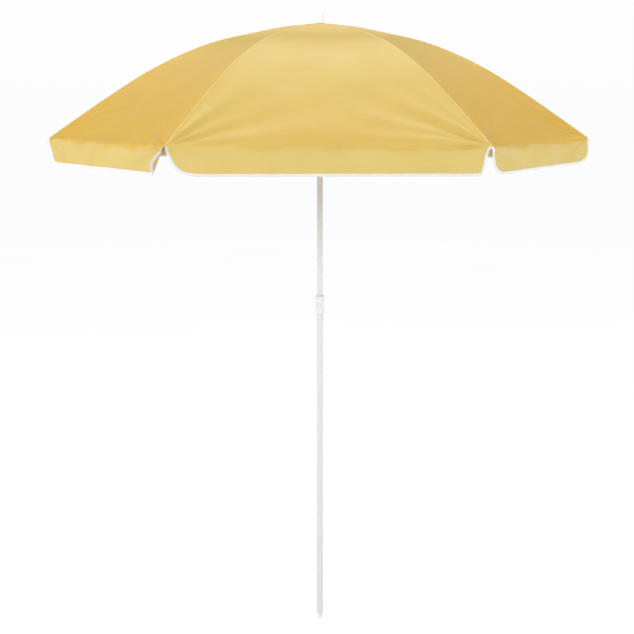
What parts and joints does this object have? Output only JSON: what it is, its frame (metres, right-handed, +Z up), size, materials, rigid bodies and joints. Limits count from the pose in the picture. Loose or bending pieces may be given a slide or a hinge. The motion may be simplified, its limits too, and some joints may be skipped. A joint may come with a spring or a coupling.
{
  "type": "beach umbrella",
  "caption": "Folding beach umbrella with a domed canopy, short notched valance, rib frame, sliding runner and a two-part pole with a pointed foot.",
  "frame": {"origin": "the point of the ground spike, on the pole's axis, at the bottom of the umbrella", "axes": "+Z up the pole; one canopy gore faces -Y; rib 1 points along +X"},
  "size_m": [1.7518, 1.5174, 2.028],
  "materials": {
    "tube_paint": "satin",
    "white_plastic": "satin",
    "spring_steel": "satin",
    "canopy_cloth": "smooth woven polyester",
    "frame_steel": "satin",
    "tip_plastic": "satin"
  },
  "bodies": {
    "lower_pole": {"lower_tube": "tube_paint", "ground_spike": "white_plastic", "pole_clamp": "white_plastic"},
    "pole_sleeve": {"pole_sleeve": "white_plastic"},
    "upper_pole": {"upper_tube": "tube_paint", "tube_plug": "white_plastic", "crown_hub": "white_plastic", "crown_ring": "spring_steel", "finial_cap": "white_plastic", "catch_spring": "spring_steel"},
    "runner": {"runner": "white_plastic"},
    "rib_1": {"rib_1": "frame_steel", "rib_tip_1": "tip_plastic", "rib_clip_1": "frame_steel", "rib_rivet_1": "frame_steel"},
    "stretcher_1": {"stretcher_1": "frame_steel"},
    "canopy_1_left": {"canopy_1_left": "canopy_cloth"},
    "canopy_6_right": {"canopy_6_right": "canopy_cloth"},
    "rib_2": {"rib_2": "frame_steel", "rib_tip_2": "tip_plastic", "rib_clip_2": "frame_steel", "rib_rivet_2": "frame_steel"},
    "stretcher_2": {"stretcher_2": "frame_steel"},
    "canopy_2_left": {"canopy_2_left": "canopy_cloth"},
    "canopy_1_right": {"canopy_1_right": "canopy_cloth"},
    "rib_3": {"rib_3": "frame_steel", "rib_tip_3": "tip_plastic", "rib_clip_3": "frame_steel", "rib_rivet_3": "frame_steel"},
    "stretcher_3": {"stretcher_3": "frame_steel"},
    "canopy_3_left": {"canopy_3_left": "canopy_cloth"},
    "canopy_2_right": {"canopy_2_right": "canopy_cloth"},
    "rib_4": {"rib_4": "frame_steel", "rib_tip_4": "tip_plastic", "rib_clip_4": "frame_steel", "rib_rivet_4": "frame_steel"},
    "stretcher_4": {"stretcher_4": "frame_steel"},
    "canopy_4_left": {"canopy_4_left": "canopy_cloth"},
    "canopy_3_right": {"canopy_3_right": "canopy_cloth"},
    "rib_5": {"rib_5": "frame_steel", "rib_tip_5": "tip_plastic", "rib_clip_5": "frame_steel", "rib_rivet_5": "frame_steel"},
    "stretcher_5": {"stretcher_5": "frame_steel"},
    "canopy_5_left": {"canopy_5_left": "canopy_cloth"},
    "canopy_4_right": {"canopy_4_right": "canopy_cloth"},
    "rib_6": {"rib_6": "frame_steel", "rib_tip_6": "tip_plastic", "rib_clip_6": "frame_steel", "rib_rivet_6": "frame_steel"},
    "stretcher_6": {"stretcher_6": "frame_steel"},
    "canopy_6_left": {"canopy_6_left": "canopy_cloth"},
    "canopy_5_right": {"canopy_5_right": "canopy_cloth"}
  },
  "joints": [
    {"name": "sleeve_turn", "type": "hinge", "parent": "lower_pole", "child": "pole_sleeve", "pos_m": [0, 0, 1.08], "axis": [0, 0, 1], "range_deg": [0, 90]},
    {"name": "height_slide", "type": "slide", "parent": "lower_pole", "child": "upper_pole", "axis": [0, 0, 1], "range_m": [-0.1, 0]},
    {"name": "runner_slide", "type": "slide", "parent": "upper_pole", "child": "runner", "axis": [0, 0, -1], "range_m": [0, 0.39861], "deforming": ["catch_spring"]},
    {"name": "rib_1_fold", "type": "hinge", "parent": "upper_pole", "child": "rib_1", "pos_m": [0.02, 0, 1.976], "axis": [0, 1, 0], "range_deg": [0, 60]},
    {"name": "stretcher_1_fold", "type": "hinge", "parent": "rib_1", "child": "stretcher_1", "pos_m": [0.3429, 0, 1.91289], "axis": [0, 1, 0], "range_deg": [-98.95, 0]},
    {"name": "canopy_1_left_fold", "type": "hinge", "parent": "rib_1", "child": "canopy_1_left", "pos_m": [0.02, 0, 1.976], "axis": [-0.6941, -0.598, -0.4008], "range_deg": [0, 29.41], "deforming": ["canopy_1_left"]},
    {"name": "canopy_6_right_fold", "type": "hinge", "parent": "rib_1", "child": "canopy_6_right", "pos_m": [0.02, 0, 1.976], "axis": [0.6941, -0.598, 0.4008], "range_deg": [0, 29.41], "deforming": ["canopy_6_right"]},
    {"name": "rib_2_fold", "type": "hinge", "parent": "upper_pole", "child": "rib_2", "pos_m": [0.01, 0.01732, 1.976], "axis": [-0.866, 0.5, 0], "range_deg": [0, 60]},
    {"name": "stretcher_2_fold", "type": "hinge", "parent": "rib_2", "child": "stretcher_2", "pos_m": [0.17145, 0.29696, 1.91289], "axis": [-0.866, 0.5, 0], "range_deg": [-98.95, 0]},
    {"name": "canopy_2_left_fold", "type": "hinge", "parent": "rib_2", "child": "canopy_2_left", "pos_m": [0.01, 0.01732, 1.976], "axis": [0.1708, -0.9001, -0.4008], "range_deg": [0, 29.41], "deforming": ["canopy_2_left"]},
    {"name": "canopy_1_right_fold", "type": "hinge", "parent": "rib_2", "child": "canopy_1_right", "pos_m": [0.01, 0.01732, 1.976], "axis": [0.8649, 0.3022, 0.4008], "range_deg": [0, 29.41], "deforming": ["canopy_1_right"]},
    {"name": "rib_3_fold", "type": "hinge", "parent": "upper_pole", "child": "rib_3", "pos_m": [-0.01, 0.01732, 1.976], "axis": [-0.866, -0.5, 0], "range_deg": [0, 60]},
    {"name": "stretcher_3_fold", "type": "hinge", "parent": "rib_3", "child": "stretcher_3", "pos_m": [-0.17145, 0.29696, 1.91289], "axis": [-0.866, -0.5, 0], "range_deg": [-98.95, 0]},
    {"name": "canopy_3_left_fold", "type": "hinge", "parent": "rib_3", "child": "canopy_3_left", "pos_m": [-0.01, 0.01732, 1.976], "axis": [0.8649, -0.3022, -0.4008], "range_deg": [0, 29.41], "deforming": ["canopy_3_left"]},
    {"name": "canopy_2_right_fold", "type": "hinge", "parent": "rib_3", "child": "canopy_2_right", "pos_m": [-0.01, 0.01732, 1.976], "axis": [0.1708, 0.9001, 0.4008], "range_deg": [0, 29.41], "deforming": ["canopy_2_right"]},
    {"name": "rib_4_fold", "type": "hinge", "parent": "upper_pole", "child": "rib_4", "pos_m": [-0.02, 0, 1.976], "axis": [0, -1, 0], "range_deg": [0, 60]},
    {"name": "stretcher_4_fold", "type": "hinge", "parent": "rib_4", "child": "stretcher_4", "pos_m": [-0.3429, 0, 1.91289], "axis": [0, -1, 0], "range_deg": [-98.95, 0]},
    {"name": "canopy_4_left_fold", "type": "hinge", "parent": "rib_4", "child": "canopy_4_left", "pos_m": [-0.02, 0, 1.976], "axis": [0.6941, 0.598, -0.4008], "range_deg": [0, 29.41], "deforming": ["canopy_4_left"]},
    {"name": "canopy_3_right_fold", "type": "hinge", "parent": "rib_4", "child": "canopy_3_right", "pos_m": [-0.02, 0, 1.976], "axis": [-0.6941, 0.598, 0.4008], "range_deg": [0, 29.41], "deforming": ["canopy_3_right"]},
    {"name": "rib_5_fold", "type": "hinge", "parent": "upper_pole", "child": "rib_5", "pos_m": [-0.01, -0.01732, 1.976], "axis": [0.866, -0.5, 0], "range_deg": [0, 60]},
    {"name": "stretcher_5_fold", "type": "hinge", "parent": "rib_5", "child": "stretcher_5", "pos_m": [-0.17145, -0.29696, 1.91289], "axis": [0.866, -0.5, 0], "range_deg": [-98.95, 0]},
    {"name": "canopy_5_left_fold", "type": "hinge", "parent": "rib_5", "child": "canopy_5_left", "pos_m": [-0.01, -0.01732, 1.976], "axis": [-0.1708, 0.9001, -0.4008], "range_deg": [0, 29.41], "deforming": ["canopy_5_left"]},
    {"name": "canopy_4_right_fold", "type": "hinge", "parent": "rib_5", "child": "canopy_4_right", "pos_m": [-0.01, -0.01732, 1.976], "axis": [-0.8649, -0.3022, 0.4008], "range_deg": [0, 29.41], "deforming": ["canopy_4_right"]},
    {"name": "rib_6_fold", "type": "hinge", "parent": "upper_pole", "child": "rib_6", "pos_m": [0.01, -0.01732, 1.976], "axis": [0.866, 0.5, 0], "range_deg": [0, 60]},
    {"name": "stretcher_6_fold", "type": "hinge", "parent": "rib_6", "child": "stretcher_6", "pos_m": [0.17145, -0.29696, 1.91289], "axis": [0.866, 0.5, 0], "range_deg": [-98.95, 0]},
    {"name": "canopy_6_left_fold", "type": "hinge", "parent": "rib_6", "child": "canopy_6_left", "pos_m": [0.01, -0.01732, 1.976], "axis": [-0.8649, 0.3022, -0.4008], "range_deg": [0, 29.41], "deforming": ["canopy_6_left"]},
    {"name": "canopy_5_right_fold", "type": "hinge", "parent": "rib_6", "child": "canopy_5_right", "pos_m": [0.01, -0.01732, 1.976], "axis": [-0.1708, -0.9001, 0.4008], "range_deg": [0, 29.41], "deforming": ["canopy_5_right"]}
  ],
  "couplings": [
    {"joint": "runner_slide", "follows": "rib_1_fold", "m_per_rad": 0.38064},
    {"joint": "stretcher_1_fold", "follows": "rib_1_fold", "ratio": -1.6491},
    {"joint": "canopy_1_left_fold", "follows": "rib_1_fold", "ratio": 0.48994},
    {"joint": "canopy_6_right_fold", "follows": "rib_1_fold", "ratio": 0.48994},
    {"joint": "rib_2_fold", "follows": "rib_1_fold", "ratio": 1},
    {"joint": "stretcher_2_fold", "follows": "rib_1_fold", "ratio": -1.6491},
    {"joint": "canopy_2_left_fold", "follows": "rib_1_fold", "ratio": 0.48994},
    {"joint": "canopy_1_right_fold", "follows": "rib_1_fold", "ratio": 0.48994},
    {"joint": "rib_3_fold", "follows": "rib_1_fold", "ratio": 1},
    {"joint": "stretcher_3_fold", "follows": "rib_1_fold", "ratio": -1.6491},
    {"joint": "canopy_3_left_fold", "follows": "rib_1_fold", "ratio": 0.48994},
    {"joint": "canopy_2_right_fold", "follows": "rib_1_fold", "ratio": 0.48994},
    {"joint": "rib_4_fold", "follows": "rib_1_fold", "ratio": 1},
    {"joint": "stretcher_4_fold", "follows": "rib_1_fold", "ratio": -1.6491},
    {"joint": "canopy_4_left_fold", "follows": "rib_1_fold", "ratio": 0.48994},
    {"joint": "canopy_3_right_fold", "follows": "rib_1_fold", "ratio": 0.48994},
    {"joint": "rib_5_fold", "follows": "rib_1_fold", "ratio": 1},
    {"joint": "stretcher_5_fold", "follows": "rib_1_fold", "ratio": -1.6491},
    {"joint": "canopy_5_left_fold", "follows": "rib_1_fold", "ratio": 0.48994},
    {"joint": "canopy_4_right_fold", "follows": "rib_1_fold", "ratio": 0.48994},
    {"joint": "rib_6_fold", "follows": "rib_1_fold", "ratio": 1},
    {"joint": "stretcher_6_fold", "follows": "rib_1_fold", "ratio": -1.6491},
    {"joint": "canopy_6_left_fold", "follows": "rib_1_fold", "ratio": 0.48994},
    {"joint": "canopy_5_right_fold", "follows": "rib_1_fold", "ratio": 0.48994}
  ]
}
